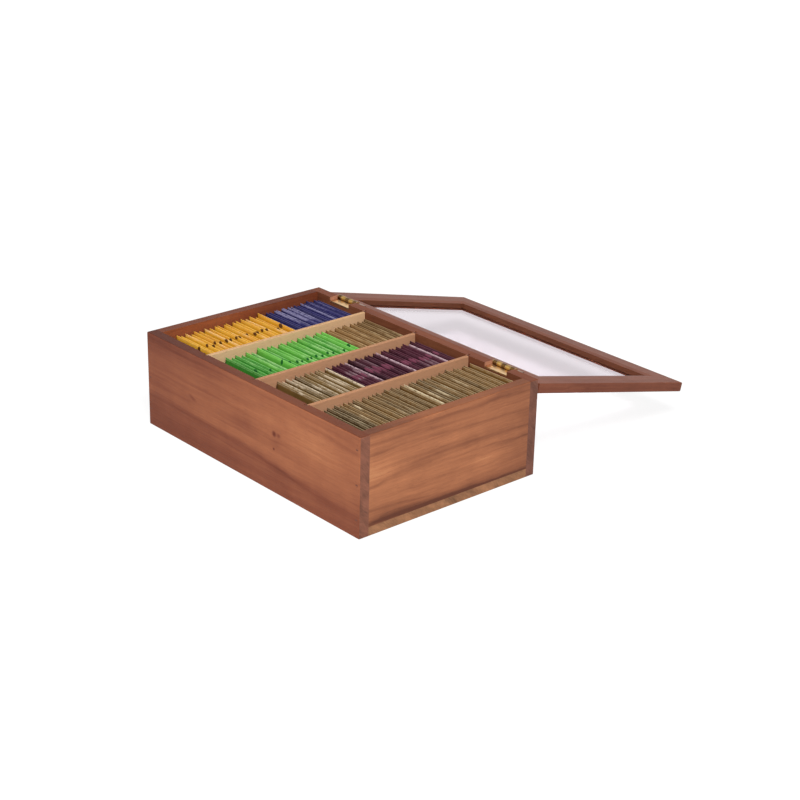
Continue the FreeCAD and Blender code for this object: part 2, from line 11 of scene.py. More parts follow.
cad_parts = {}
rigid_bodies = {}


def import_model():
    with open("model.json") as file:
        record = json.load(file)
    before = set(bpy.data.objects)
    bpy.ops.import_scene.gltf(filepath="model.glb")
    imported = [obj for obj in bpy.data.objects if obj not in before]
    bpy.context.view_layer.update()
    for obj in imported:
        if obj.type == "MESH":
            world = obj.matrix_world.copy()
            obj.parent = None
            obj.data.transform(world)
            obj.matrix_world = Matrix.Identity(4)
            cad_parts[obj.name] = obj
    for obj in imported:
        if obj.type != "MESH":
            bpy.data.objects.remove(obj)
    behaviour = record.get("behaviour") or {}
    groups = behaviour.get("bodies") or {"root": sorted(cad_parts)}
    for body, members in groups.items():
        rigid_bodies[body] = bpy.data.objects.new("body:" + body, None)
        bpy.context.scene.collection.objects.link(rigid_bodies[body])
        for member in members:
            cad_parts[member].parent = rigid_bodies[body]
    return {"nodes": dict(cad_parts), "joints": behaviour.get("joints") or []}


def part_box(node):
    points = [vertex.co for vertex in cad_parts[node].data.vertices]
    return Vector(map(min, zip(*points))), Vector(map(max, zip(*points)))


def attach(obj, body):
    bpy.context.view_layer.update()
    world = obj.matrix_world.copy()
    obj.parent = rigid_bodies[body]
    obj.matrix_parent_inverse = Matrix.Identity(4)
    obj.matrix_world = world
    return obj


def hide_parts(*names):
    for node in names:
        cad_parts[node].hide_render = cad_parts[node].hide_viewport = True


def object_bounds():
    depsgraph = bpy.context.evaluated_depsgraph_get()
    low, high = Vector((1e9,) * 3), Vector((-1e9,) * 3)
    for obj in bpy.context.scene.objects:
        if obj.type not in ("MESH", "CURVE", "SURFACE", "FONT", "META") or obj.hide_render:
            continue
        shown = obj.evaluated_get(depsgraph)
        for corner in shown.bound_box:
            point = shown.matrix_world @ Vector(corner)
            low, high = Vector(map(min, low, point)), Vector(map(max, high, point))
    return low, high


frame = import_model()
bpy.context.view_layer.update()
cad_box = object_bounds()

MM = 0.001

# The camera, as solved from the edges of the chest in the photograph.
CAMERA_PLACE = Vector((1147.5, -951.4, 677.5)) * MM
CAMERA_FORWARD = Vector((-0.68659, 0.61411, -0.38919))
CAMERA_DOWN = Vector((0.30659, -0.24083, -0.92087))
CAMERA_LENS = 81.77
SENSOR_WIDTH = 36

# The hinge, and how the opened lid slopes: at its limit it has turned half a turn and this much more.
HINGE = frame["joints"][0]
HINGE_PLACE = Vector(HINGE["pos_m"])
LID_TILT = math.radians(HINGE["range_deg"][1] - 180)
CHEST_BODY = HINGE["parent"]
KNUCKLES = 5

# The corners of the front board: the outer one at its foot, where the drawings of the boards start, and
# the inner one at its rim.
OUTER_CORNER, INNER_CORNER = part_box("front_board")

# Noise swings about this value, and a board's tone starts from it.
MIDDLE = 0.5

# Finishes: two values of a noise, then the roughness at each.
WOOD_GLOSS = (0.3, 0.7, 0.44, 0.58)
BRASS_GLOSS = (0.5, 1, 0.26, 0.42)
PANE_GLOSS = (0.35, 0.75, 0.01, 0.05)
PAPER_GLOSS = (0.3, 0.7, 0.4, 0.55)


def shade(red, green, blue):
    """A colour as the eye reads it, each part from 0 to 255, as linear light."""
    parts = [part / 255 for part in (red, green, blue)]
    return tuple(p / 12.92 if p <= 0.04045 else ((p + 0.055) / 1.055) ** 2.4 for p in parts)


class Graph:
    """The node tree of one material, with short calls that add nodes and join them."""

    def __init__(self, name):
        self.material = bpy.data.materials.new(name)
        self.material.use_nodes = True
        self.nodes = self.material.node_tree.nodes
        self.links = self.material.node_tree.links
        self.nodes.clear()

    def feed(self, socket, value):
        """Joins another node's output to a socket, or gives the socket a fixed value."""
        if isinstance(value, bpy.types.NodeSocket):
            self.links.new(value, socket)
        elif socket.type == "RGBA" and len(value) == 3:
            socket.default_value = (*value, 1)
        else:
            socket.default_value = value

    def add(self, kind, inputs=(), **settings):
        """A new node with its settings, and its inputs fed by name or number."""
        node = self.nodes.new("ShaderNode" + kind)
        for name, setting in settings.items():
            setattr(node, name, setting)
        for name, value in dict(inputs).items():
            self.feed(node.inputs[name], value)
        return node

    def maths(self, operation, *values):
        return self.add("Math", enumerate(values), operation=operation).outputs[0]

    def plus(self, *values):
        total = values[0]
        for value in values[1:]:
            total = self.maths("ADD", total, value)
        return total

    def times(self, *values):
        product = values[0]
        for value in values[1:]:
            product = self.maths("MULTIPLY", product, value)
        return product

    def minus(self, value, other):
        return self.maths("SUBTRACT", value, other)

    def divide(self, value, other):
        return self.maths("DIVIDE", value, other)

    def unsigned(self, value):
        return self.maths("ABSOLUTE", value)

    def vector(self, operation, *values):
        node = self.add("VectorMath", enumerate(values), operation=operation)
        return node.outputs["Value" if operation == "LENGTH" else "Vector"]

    def split(self, vector):
        return list(self.add("SeparateXYZ", {"Vector": vector}).outputs)

    def combine(self, x, y, z):
        return self.add("CombineXYZ", {"X": x, "Y": y, "Z": z}).outputs[0]

    def place(self):
        """The place in the chest's own frame, in metres."""
        return self.add("TexCoord").outputs["Object"]

    def attribute(self, name):
        """The three parts of a vector that the mesh carries."""
        return self.split(self.add("Attribute", attribute_name=name).outputs["Vector"])

    def noise(self, vector, cells, detail=3, roughness=0.55):
        """Cloudy noise about one half, with so many cells per metre along each axis."""
        point = self.vector("MULTIPLY", vector, cells)
        settings = {"Vector": point, "Scale": 1, "Detail": detail, "Roughness": roughness}
        return self.add("TexNoise", settings).outputs[0]

    def swing(self, vector, cells, detail=3, roughness=0.55):
        """The same noise about zero."""
        return self.minus(self.noise(vector, cells, detail, roughness), MIDDLE)

    def spread(self, value, low, high, to_low=0, to_high=1, shape="SMOOTHSTEP"):
        """A value carried from low..high to to_low..to_high, and held at both ends."""
        inputs = {"Value": value, "From Min": low, "From Max": high}
        inputs |= {"To Min": to_low, "To Max": to_high}
        return self.add("MapRange", inputs, interpolation_type=shape).outputs[0]

    def below(self, value, low, high):
        """One up to low, and zero from high on."""
        return self.spread(value, low, high, 1, 0)

    def ramp(self, factor, *stops):
        node = self.add("ValToRGB", {"Fac": factor})
        elements = node.color_ramp.elements
        for element, (place, colour) in zip(elements, (stops[0], stops[-1])):
            element.position = place
            element.color = (*colour, 1)
        for place, colour in stops[1:-1]:
            elements.new(place).color = (*colour, 1)
        return node.outputs[0]

    def mix(self, factor, first, second, blend="MIX"):
        node = self.add("Mix", {0: factor, 6: first, 7: second}, data_type="RGBA", blend_type=blend)
        return node.outputs[2]

    def tinted(self, colour, tint):
        """A colour multiplied by another."""
        return self.mix(1, colour, tint, "MULTIPLY")

    def surface(self, sockets, height, depth):
        """The finished material: one shader, with a bump whose height 1 stands depth metres proud."""
        bump = self.add("Bump", {"Height": height, "Distance": depth, "Strength": 1})
        shader = self.add("BsdfPrincipled", sockets | {"Normal": bump.outputs[0]})
        self.add("OutputMaterial", {"Surface": shader.outputs[0]})
        return self.material


def paint(node, material):
    """Gives a node of the frame its finished material."""
    for slot in frame["nodes"][node].material_slots:
        slot.material = material


# Wood


def patch(graph, along, across, centre, reach, slope=0.0):
    """One inside a soft ellipse on a board, and zero outside it. Its long axis climbs by slope."""
    level = graph.maths("MULTIPLY_ADD", along, -slope, across)
    offset = (centre[0], centre[1] - slope * centre[0], 0)
    away = graph.vector("SUBTRACT", graph.combine(along, level, 0), offset)
    shares = graph.vector("MULTIPLY", away, (1 / reach[0], 1 / reach[1], 0))
    return graph.below(graph.vector("LENGTH", shares), 0, 1)


def trace(graph, place, points):
    """The height of a line drawn through points, at a place along it."""
    height = points[0][1]
    for (start, low), (end, high) in zip(points, points[1:]):
        if high != low:
            height = graph.plus(height, graph.spread(place, start, end, 0, high - low, "LINEAR"))
    return height


def streak(graph, along, across, points):
    """A soft line in the wood. A point has its place along and across, half its width and its strength."""
    parts = [[(point[0], point[part]) for point in points] for part in (1, 2, 3)]
    level, width, strength = [trace(graph, along, part) for part in parts]
    away = graph.divide(graph.unsigned(graph.minus(across, level)), width)
    return graph.times(graph.below(away, 0, 1), strength)


def with_lid(graph, vector, centre, lid):
    """A vector, which for the boards of the open lid is turned back level, so that they follow the axes."""
    if not lid:
        return vector
    turned = {"Vector": vector, "Center": centre, "Angle": LID_TILT}
    return graph.add("VectorRotate", turned, rotation_type="X_AXIS").outputs[0]


def board_place(graph, axes, lid):
    """The place on a board as along its grain, across it and through it, in metres."""
    place = with_lid(graph, graph.place(), tuple(HINGE_PLACE), lid)
    parts = dict(zip("XYZ", graph.split(place)))
    return [parts[axis] for axis in axes]


def facing(graph, lid):
    """How much a surface of a board faces each axis, as three numbers from minus one to one."""
    normal = with_lid(graph, graph.add("TexCoord").outputs["Normal"], (0, 0, 0), lid)
    return dict(zip("XYZ", graph.split(normal)))


# The waves that bend the fibres: cells per metre, detail, and how far they carry a fibre.
WAVE_CELLS, WAVE_DETAIL, WAVE_REACH = (6, 14, 14), 1, 16 * MM
RIPPLE_CELLS, RIPPLE_DETAIL, RIPPLE_REACH = (36, 60, 60), 3, 4 * MM
DRAWING_WANDER = 3 * MM

# The figure of the wood: cells per metre, detail and roughness of the noise, and its weight in the tone.
# The streaky layers also follow how strong the figure of a board is.
FIGURE = {
    "cloud": ((6, 26, 26), 2, 0.55, 0.30),
    "band": ((7, 130, 130), 3, 0.55, 0.34),
    "line": ((12, 480, 480), 3, 0.6, 0.42),
    "fibre": ((60, 1700, 1700), 3, 0.6, 0.26),
    "mottle": ((55, 30, 30), 2, 0.55, 0.16),
}
STREAKY = ("band", "line")
PORE_CELLS = (150, 2600, 2600)
PORE_TINT = (0.32, 0.3, 0.3)
PORE_STRENGTH = 0.3

# Knots, as shares of their size: how far they push the fibres, and how large their dark heart is.
KNOT_PUSH_SHARES = (7, 3)
KNOT_PUSH = -0.4
KNOT_HEART_SHARES = (1.7, 1.2)
KNOT_DARKNESS = -0.6

# End grain: the slant of its rings, two layers of cells with their weights, and its darkest and lightest
# share of the tone, with their places in the noise.
RING_SLANT = 0.9
RING_LAYERS = (((60, 75, 60), 2, 0.72), ((300, 640, 300), 3, 0.38))
RING_SHARES = (0.7, 1.16)
RING_STOPS = (0.3, 0.78)

# Where something starts, and where it is full: a pore, in its noise, and a tint or end grain, by how
# squarely a face looks along an axis.
PORE_EDGE = (0.6, 0.76)
TINT_FACING = (0.5, 0.85)
CUT_FACING = (0.6, 0.85)

# How soft the change to another colour along a board is, in its end grain and on its faces.
CUT_SOFTNESS = 1 * MM
FACE_SOFTNESS = 0.2 * MM

WOOD_SHEEN = 0.11
WOOD_RELIEF = 0.1 * MM
FIBRE_HEIGHT = 0.5
PORE_HEIGHT = -0.5


def round_knots(graph, along, across, knots):
    """The place across the grain, carried outwards near each knot, so that the fibres pass round it."""
    for centre, size in knots:
        near = patch(graph, along, across, centre, [share * size for share in KNOT_PUSH_SHARES])
        push = graph.times(graph.minus(across, centre[1]), near)
        across = graph.maths("MULTIPLY_ADD", push, KNOT_PUSH, across)
    return across


def drawn_tones(graph, drawing, along, across, wander):
    """What the drawing of a board adds to its tone, as a list of values."""
    tones = []
    if "along" in drawing:
        tones.append(trace(graph, along, drawing["along"]))
    if "across" in drawing:
        tones.append(trace(graph, wander, drawing["across"]))
    for points in drawing.get("streaks", ()):
        tones.append(graph.times(streak(graph, along, wander, points), -1))
    for centre, reach, slope, strength in drawing.get("patches", ()):
        tones.append(graph.times(patch(graph, along, wander, centre, reach, slope), -strength))
    for centre, size in drawing.get("knots", ()):
        heart = [share * size for share in KNOT_HEART_SHARES]
        tones.append(graph.times(patch(graph, along, across, centre, heart), KNOT_DARKNESS))
    return tones


def end_grain(graph, along, across, through, seed, cut_tone):
    """The colour of a cut across the grain, with slanting rings."""
    slanted = graph.maths("MULTIPLY_ADD", through, RING_SLANT, across)
    cut = graph.vector("ADD", graph.combine(through, slanted, along), seed)
    rings = [graph.times(graph.noise(cut, *layer), weight) for *layer, weight in RING_LAYERS]
    tones = [shade(*[share * part for part in cut_tone]) for share in RING_SHARES]
    return graph.ramp(graph.plus(*rings), *zip(RING_STOPS, tones))


def wood(name, tones, axes, seed, drawing=None, tints=(), cut_tone=None, lid=False, figure=1.0,
         change=None):
    """Stained wood with its grain along the first of its axes.

    tones are the colours from the darkest to the lightest. drawing has what is seen on this board alone:
    how the tone changes along and across it, streaks, patches and knots. tints are painted shade on some
    faces, each an axis, the side of it that the face looks to, and a colour that multiplies. cut_tone is
    for end grain. figure is how strong the streaks are. change is a distance from the middle along the
    grain, and a colour that takes over there: in the end grain of cuts nearer than that, or, on a board
    without a cut_tone, in all that lies farther out.
    """
    graph = Graph(name)
    drawing = drawing or {}
    along, across, through = board_place(graph, axes, lid)
    across = round_knots(graph, along, across, drawing.get("knots", ()))
    grain = graph.vector("ADD", graph.combine(along, across, through), seed)

    wave = graph.swing(grain, WAVE_CELLS, WAVE_DETAIL)
    ripple = graph.swing(grain, RIPPLE_CELLS, RIPPLE_DETAIL)
    drift = graph.plus(graph.times(wave, WAVE_REACH * figure), graph.times(ripple, RIPPLE_REACH * figure))
    bent = graph.vector("ADD", grain, graph.combine(0, drift, drift))
    wander = graph.maths("MULTIPLY_ADD", ripple, DRAWING_WANDER, across)

    layers = {}
    shares = [MIDDLE]
    for layer, (cells, detail, roughness, weight) in FIGURE.items():
        layers[layer] = graph.noise(bent, cells, detail, roughness)
        strength = weight * figure if layer in STREAKY else weight
        shares.append(graph.times(graph.minus(layers[layer], MIDDLE), strength))
    tone = graph.plus(*shares, *drawn_tones(graph, drawing, along, across, wander))
    pore = graph.spread(graph.noise(bent, PORE_CELLS, 1), *PORE_EDGE)

    stops = [(index / (len(tones) - 1), shade(*colour)) for index, colour in enumerate(tones)]
    colour = graph.ramp(tone, *stops)
    faces = facing(graph, lid)
    # Painted shade on the faces that the tints name.
    for axis, side, tint in tints:
        towards = graph.spread(graph.times(faces[axis], side), *TINT_FACING)
        colour = graph.mix(towards, colour, graph.tinted(colour, shade(*tint)))
    if cut_tone is not None:
        end = graph.spread(graph.unsigned(faces[axes[0]]), *CUT_FACING)
        end_colour = end_grain(graph, along, across, through, seed, cut_tone)
        if change is not None:
            low, high = change[0] - CUT_SOFTNESS, change[0] + CUT_SOFTNESS
            nearer = graph.below(graph.unsigned(along), low, high)
            end_colour = graph.mix(nearer, end_colour, shade(*change[1]))
        colour = graph.mix(end, colour, end_colour)
    elif change is not None:
        low, high = change[0] - FACE_SOFTNESS, change[0] + FACE_SOFTNESS
        farther = graph.spread(graph.unsigned(along), low, high)
        colour = graph.mix(farther, colour, shade(*change[1]))
    colour = graph.mix(graph.times(pore, PORE_STRENGTH), colour, graph.tinted(colour, PORE_TINT))

    gloss = graph.spread(layers["fibre"], *WOOD_GLOSS, "LINEAR")
    relief = graph.plus(graph.times(layers["fibre"], FIBRE_HEIGHT), graph.times(pore, PORE_HEIGHT))
    sockets = {"Base Color": colour, "Roughness": gloss, "Specular IOR Level": WOOD_SHEEN}
    return graph.surface(sockets, relief, WOOD_RELIEF)


# Tones of the woods, from the darkest grain to the lightest.
FRONT_TONES = ((104, 48, 31), (138, 77, 54), (174, 107, 73), (208, 138, 94))
END_TONES = ((100, 58, 43), (146, 91, 64), (184, 119, 82), (214, 153, 106))
LID_TONES = ((74, 35, 25), (106, 57, 42), (136, 81, 60), (160, 105, 82))
FAR_PALE_TONES = ((208, 162, 120), (234, 192, 148), (248, 212, 172))
# The nearer dividers are painted darker and more orange than the first, as shade and warm bounce light.
PALE_TONES = ((172, 122, 90), (206, 154, 118), (228, 178, 140))

# End grain, the bare wood in the hinges' notches, and the painted shade on the dividers' ends in the
# grooves.
END_GRAIN = (136, 88, 70)
BACK_END_GRAIN = (122, 80, 66)
PANEL_GRAIN = (158, 112, 80)
FRESH_CUT = (174, 124, 102)
GROOVE_SHADE = (98, 60, 48)

# What multiplies the colour of faces painted darker as shade: rims, tops of dividers, the lid's lip and
# inner faces.
RIM_SHADE = (188, 172, 164)
FRONT_RIM_SHADE = (174, 156, 146)
END_RIM_SHADE = (222, 212, 200)
DIVIDER_TOP_SHADE = (224, 216, 206)
LIP_SHADE = (224, 228, 218)
# Painted shade on the inner faces, and on the front and end boards also warmer, as bounce light.
INNER_SHADE = (250, 238, 222)
BACK_INNER_SHADE = (206, 206, 206)

# The left end board gets darker towards the back. The back board's end grain nearer the middle than
# this is that of the hinges' notches.
DARKER_BEHIND = [(-90 * MM, 0.0), (-30 * MM, 0.0), (60 * MM, -0.2)]
BEYOND_NOTCHES = 145 * MM


def front_drawing():
    """What the front board shows: a long dark streak that falls to the right, a knot, and partly painted
    light.
    """

    def spot(x, z):
        return OUTER_CORNER.x + x * MM, z * MM

    def run(*points):
        return [(*spot(x, z), width * MM, strength) for x, z, width, strength in points]

    # Partly the wood's own tone and partly painted shade: darker to the left and at the foot near the floor.
    lengthwise = ((0, -0.12), (90, -0.05), (160, 0.05), (240, 0.10), (300, 0.05))
    upwards = ((0, -0.22), (12, -0.22), (22, -0.14), (34, 0.0), (60, 0.05), (76, 0.03), (90, -0.03))
    return {
        "along": [(spot(x, 0)[0], tone) for x, tone in lengthwise],
        "across": [(z * MM, tone) for z, tone in upwards],
        "streaks": (
            run((0, 30, 3, 0.08), (60, 30, 3.5, 0.14), (110, 29.5, 4.5, 0.14), (150, 27.5, 6, 0.14),
                (185, 25, 7, 0.2), (225, 21.5, 6, 0.16), (300, 15, 7, 0.04)),
            run((140, 28.5, 2, 0.0), (160, 27.5, 2, 0.08), (176, 24.5, 2, 0.10), (200, 24, 2, 0.12),
                (225, 20, 2, 0.06), (250, 18, 2, 0.0)),
            run((0, 61, 2.5, 0.06), (90, 60.5, 2.5, 0.12), (170, 59.5, 2, 0.04), (190, 59, 2, 0.0)),
            run((0, 84, 3, 0.0), (60, 84, 3, 0.14), (150, 85.5, 2.5, 0.12), (230, 83, 2.5, 0.08),
                (300, 81, 2.5, 0.08)),
            run((215, 79, 3, 0.0), (250, 77, 3.5, 0.12), (300, 74, 3, 0.10)),
            run((0, 38, 5, -0.05), (90, 38.5, 5, -0.08), (150, 37, 5, -0.12), (200, 35.5, 5, -0.10),
                (240, 33, 5, 0.0)),
            run((185, 48.5, 2, 0.0), (205, 50, 2.5, 0.06), (240, 50, 3, 0.0)),
        ),
        "patches": (
            (spot(0, 86), (130 * MM, 20 * MM), -0.03, 0.24),
            (spot(146, 50), (34 * MM, 13 * MM), 0.0, 0.14),
            (spot(70, 47.6), (8 * MM, 3 * MM), -0.25, 0.22),
            (spot(187.4, 40.6), (2.2 * MM, 1.8 * MM), 0.0, 0.55),
            (spot(194, 54.3), (4.4 * MM, 2.8 * MM), 0.0, 0.34),
            (spot(188, 47), (14 * MM, 5 * MM), 0.0, 0.10),
            # These two are partly the wood's own tone and partly a painted highlight on the right of the
            # board.
            (spot(235, 58), (60 * MM, 24 * MM), 0.0, -0.16),
            (spot(180, 66), (30 * MM, 9 * MM), 0.0, -0.12),
        ),
        "knots": ((spot(188, 54.4), 2.5 * MM),),
    }


def end_drawing():
    """What the right end board shows: a pale flame near the front, level bands and a dark band along its
    foot.
    """

    def spot(y, z):
        return OUTER_CORNER.y + y * MM, z * MM

    def run(*points):
        return [(*spot(y, z), width * MM, strength) for y, z, width, strength in points]

    lengthwise = ((10, 0.04), (60, 0.0), (150, 0.0), (190, -0.12))
    upwards = ((8, -0.12), (18, -0.04), (26, 0.0), (60, 0.0), (78, 0.03), (89, -0.08))
    return {
        "along": [(spot(y, 0)[0], tone) for y, tone in lengthwise],
        "across": [(z * MM, tone) for z, tone in upwards],
        "streaks": (
            run((8, 71, 2, 0.08), (18, 71.3, 2.2, 0.2), (34, 71.5, 2, 0.14), (52, 73, 1.5, 0.0)),
            run((8, 42, 2.4, 0.18), (20, 43, 2.4, 0.14), (30, 46, 4, 0.06), (44, 50, 7, 0.08),
                (70, 52, 9, 0.18), (100, 54, 7, 0.16), (130, 53, 6, 0.2), (160, 52, 4, 0.1),
                (190, 50, 4, 0.1)),
            run((70, 72, 2, 0.0), (90, 70, 2, 0.14), (130, 68, 2, 0.16), (190, 66, 2, 0.12)),
            run((58, 84, 2, 0.0), (80, 84, 3, 0.15), (120, 83.5, 2.4, 0.08), (150, 85, 3, 0.14),
                (190, 82, 2.4, 0.1)),
            run((10, 80.5, 2, 0.06), (60, 79, 2, 0.1), (120, 76, 1.6, 0.06), (190, 75, 2, 0.08)),
            run((58, 45, 1.6, 0.0), (90, 45, 1.8, 0.12), (130, 44, 1.8, 0.12), (190, 41, 1.8, 0.12)),
            run((40, 30, 2, 0.0), (60, 29, 2, 0.1), (90, 27, 2, 0.0)),
            run((8, 11, 8, 0.2), (25, 12, 9, 0.3), (45, 12, 9, 0.3), (65, 11, 8, 0.32),
                (90, 10, 7, 0.30), (130, 9, 5, 0.28), (192, 9, 4, 0.12)),
            run((8, 10, 3, 0.1), (25, 10.6, 3, 0.2), (45, 10.6, 3, 0.2), (90, 9.4, 2.4, 0.22),
                (160, 9, 2, 0.18), (192, 9, 2, 0.1)),
            run((8, 21.5, 1.6, 0.12), (40, 20.5, 1.6, 0.14), (70, 17, 1.6, 0.12), (110, 13.5, 1.6, 0.0)),
        ),
        "patches": (
            (spot(12, 56), (42 * MM, 16 * MM), -0.05, -0.16),
            (spot(95, 62), (55 * MM, 6 * MM), -0.02, -0.10),
            (spot(140, 32), (45 * MM, 6 * MM), 0.0, -0.16),
            (spot(25, 30), (30 * MM, 6 * MM), 0.05, -0.06),
            (spot(0, 98), (90 * MM, 14 * MM), 0.0, 1.0),
        ),
    }


def stain_boards():
    """The boards of the chest. The inner faces and the rims are painted darker than the outer faces, as
    shade.
    """
    # Painted shade: the rims darker, and the inner faces darker and warmer.
    front_tints = (("Y", 1, INNER_SHADE), ("Z", 1, FRONT_RIM_SHADE))
    back_tints = (("Y", -1, BACK_INNER_SHADE), ("Z", 1, RIM_SHADE))
    left_tints = (("X", 1, INNER_SHADE), ("Z", 1, RIM_SHADE))
    right_tints = (("X", -1, INNER_SHADE), ("Z", 1, END_RIM_SHADE))
    boards = {
        "front_board": wood("front_wood", FRONT_TONES, "XZY", (0.31, 0.07, 0.53), front_drawing(),
                            front_tints, END_GRAIN, figure=0.65),
        "back_board": wood("back_wood", FRONT_TONES, "XZY", (1.7, 0.9, 0.2), None,
                           back_tints, BACK_END_GRAIN, change=(BEYOND_NOTCHES, FRESH_CUT)),
        "left_end_board": wood("left_end_wood", FRONT_TONES, "YZX", (2.3, 1.1, 0.4),
                               {"along": DARKER_BEHIND}, left_tints, END_GRAIN),
        "right_end_board": wood("right_end_wood", END_TONES, "YZX", (0.6, 2.2, 1.4), end_drawing(),
                                right_tints, END_GRAIN, figure=0.9),
        "bottom_panel": wood("bottom_wood", END_TONES, "XYZ", (3.3, 0.2, 1.8), None, (), PANEL_GRAIN),
    }
    for node, material in boards.items():
        paint(node, material)


def dress_dividers():
    """Thin bare boards, the first one the palest. Their tops are painted darker as shade, and their ends
    dark as the grooves' shade.
    """
    tones = {"divider_1": FAR_PALE_TONES, "divider_2": PALE_TONES, "divider_3": PALE_TONES}
    tints = (("Z", 1, DIVIDER_TOP_SHADE),)
    # The ends in the grooves are painted dark, as the grooves' shade.
    in_groove = (-INNER_CORNER.y, GROOVE_SHADE)
    for index, (node, colours) in enumerate(tones.items()):
        seed = (0.7 * index, 1.3 + index, 0.4)
        material = wood(f"{node}_wood", colours, "YZX", seed, None, tints, figure=0.5, change=in_groove)
        paint(node, material)


def stain_lid():
    """The four rails, each with its grain along it, and with painted shade on the faces towards the pane."""
    rails = {
        "lid_rear_rail": ("XYZ", (4.1, 0.3, 0.9), ("Y", 1)),
        "lid_front_rail": ("XYZ", (5.2, 1.2, 0.1), ("Y", -1)),
        "lid_left_rail": ("YXZ", (6.4, 0.8, 1.1), ("X", 1)),
        "lid_right_rail": ("YXZ", (7.3, 1.9, 0.6), ("X", -1)),
    }
    for node, (axes, seed, inwards) in rails.items():
        tints = ((*inwards, LIP_SHADE),)
        material = wood(f"{node}_wood", LID_TONES, axes, seed, None, tints, END_GRAIN, lid=True, figure=0.9)
        paint(node, material)


# Brass, filler and glass


# A barrel's tone, a painted reflection, ends at this distance from the hinge's axis. At the ends of each
# knuckle, for these shares of its length, only this much of it is left: a painted highlight on bright brass.
BARREL_EDGE = (2.7 * MM, 3.3 * MM)
KNUCKLE_END_SHARES = (0.05, 0.1)
TONE_AT_END = 0.3

# Noises as cells per metre, and how deep the scratches and the grains of the filler are.
BRASS_CELLS = (160, 160, 160)
SCRATCH_CELLS = (300, 5200, 2600)
SCRATCH_DEPTH = 0.01 * MM
GRAIN_CELLS = (1400, 1400, 1400)
GRAIN_DEPTH = 0.05 * MM
FILLER_ROUGHNESS = 0.7

# A darker and a lighter colour each, and where they stand in the noise.
BRIGHT_PLATE = ((214, 172, 116), (244, 212, 166))
# The barrels' colours are painted reflections, dark on the chest's leaves and golden on the lid's.
BRIGHT_BARREL = ((78, 54, 28), (118, 86, 46))
BROWN_PLATE = ((104, 72, 46), (136, 98, 64))
BROWN_BARREL = ((146, 114, 58), (186, 148, 84))
FILLER = ((96, 50, 38), (124, 70, 52))
CLOUDED = (0.3, 0.7)


def clouded(graph, cloud, tones):
    """Two tones that follow a cloudy noise."""
    return graph.ramp(cloud, *zip(CLOUDED, [shade(*tone) for tone in tones]))


def brass(name, plate, barrel):
    """Brass, brushed and clouded. Its barrels carry a painted reflection, and the ends of knuckles the
    plate's colour.
    """
    graph = Graph(name)
    place = graph.place()
    x, y, z = graph.split(place)
    cloud = graph.noise(place, BRASS_CELLS)
    scratch = graph.noise(place, SCRATCH_CELLS, 2)
    low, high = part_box("hinge_pin_left")
    from_pin = graph.combine(0, graph.minus(y, HINGE_PLACE.y), graph.minus(z, HINGE_PLACE.z))
    on_barrel = graph.below(graph.vector("LENGTH", from_pin), *BARREL_EDGE)
    from_inner_end = graph.minus(graph.unsigned(x), -high.x)
    steps = graph.times(from_inner_end, KNUCKLES / (high.x - low.x))
    from_centre = graph.unsigned(graph.minus(graph.maths("FRACT", steps), MIDDLE))
    from_joint = graph.minus(MIDDLE, from_centre)
    # Painted reflection on the barrels, giving way to the plate's colour near the knuckles' ends.
    barrel_reflection = graph.times(on_barrel, graph.spread(from_joint, *KNUCKLE_END_SHARES, TONE_AT_END, 1))
    colour = graph.mix(barrel_reflection, clouded(graph, cloud, plate), clouded(graph, cloud, barrel))
    brushed = graph.plus(cloud, graph.times(scratch, 0.5))
    gloss = graph.spread(brushed, *BRASS_GLOSS, "LINEAR")
    sockets = {"Base Color": colour, "Metallic": 1, "Roughness": gloss}
    return graph.surface(sockets, scratch, SCRATCH_DEPTH)


def polish_brass():
    """The chest's leaves are bright, the lid's brown. Painted reflections make the chest's knuckles brown,
    the lid's golden.
    """
    bright = brass("bright_brass", BRIGHT_PLATE, BRIGHT_BARREL)
    brown = brass("brown_brass", BROWN_PLATE, BROWN_BARREL)
    for node in frame["nodes"]:
        if "box_leaf" in node or "screws" in node:
            paint(node, bright)
        if "lid_leaf" in node or "pin" in node:
            paint(node, brown)


def fill_brads():
    """The sunk brads lie under a dark filler."""
    graph = Graph("brad_filler")
    grains = graph.noise(graph.place(), GRAIN_CELLS)
    sockets = {"Base Color": clouded(graph, grains, FILLER), "Roughness": FILLER_ROUGHNESS}
    material = graph.surface(sockets, grains, GRAIN_DEPTH)
    paint("front_brads", material)
    paint("back_brads", material)


# The pane: its faint lavender cast, what lamps lose in it, a low index, so that it mirrors little, and
# its smears as cells per metre.
PANE_CAST = (234, 226, 232)
PANE_SHADOW = (246, 243, 247)
PANE_INDEX = 1.06
SMEAR_CELLS = (9, 14, 14)


def glaze_lid():
    """A clear pane with a faint cast. Lamps shine through it."""
    graph = Graph("clear_glazing")
    smear = graph.noise(graph.place(), SMEAR_CELLS)
    gloss = graph.spread(smear, *PANE_GLOSS, "LINEAR")
    sockets = {"Base Color": shade(*PANE_CAST), "Roughness": gloss, "IOR": PANE_INDEX}
    pane = graph.add("BsdfPrincipled", sockets | {"Transmission Weight": 1})
    clear = graph.add("BsdfTransparent", {"Color": shade(*PANE_SHADOW)})
    lamp_ray = graph.add("LightPath").outputs["Is Shadow Ray"]
    shown = graph.add("MixShader", {0: lamp_ray, 1: pane.outputs[0], 2: clear.outputs[0]})
    graph.add("OutputMaterial", {"Surface": shown.outputs[0]})
    paint("lid_pane", graph.material)


# Paper sachets


# How finely they are made, and how an envelope is built, in metres.
COLUMNS = 36
ROWS = 12
SEAL = 5.5 * MM
SIDE_SEAL = 3 * MM
SEAL_HALF = 0.16 * MM
EDGE_WAVE = 0.35 * MM
NEIGHBOUR_GAP = 0.2 * MM
TOP_SHARE = 1.9

# Corners nearer than this are one, and a mark of this size can't be seen.
TINY = 0.001 * MM

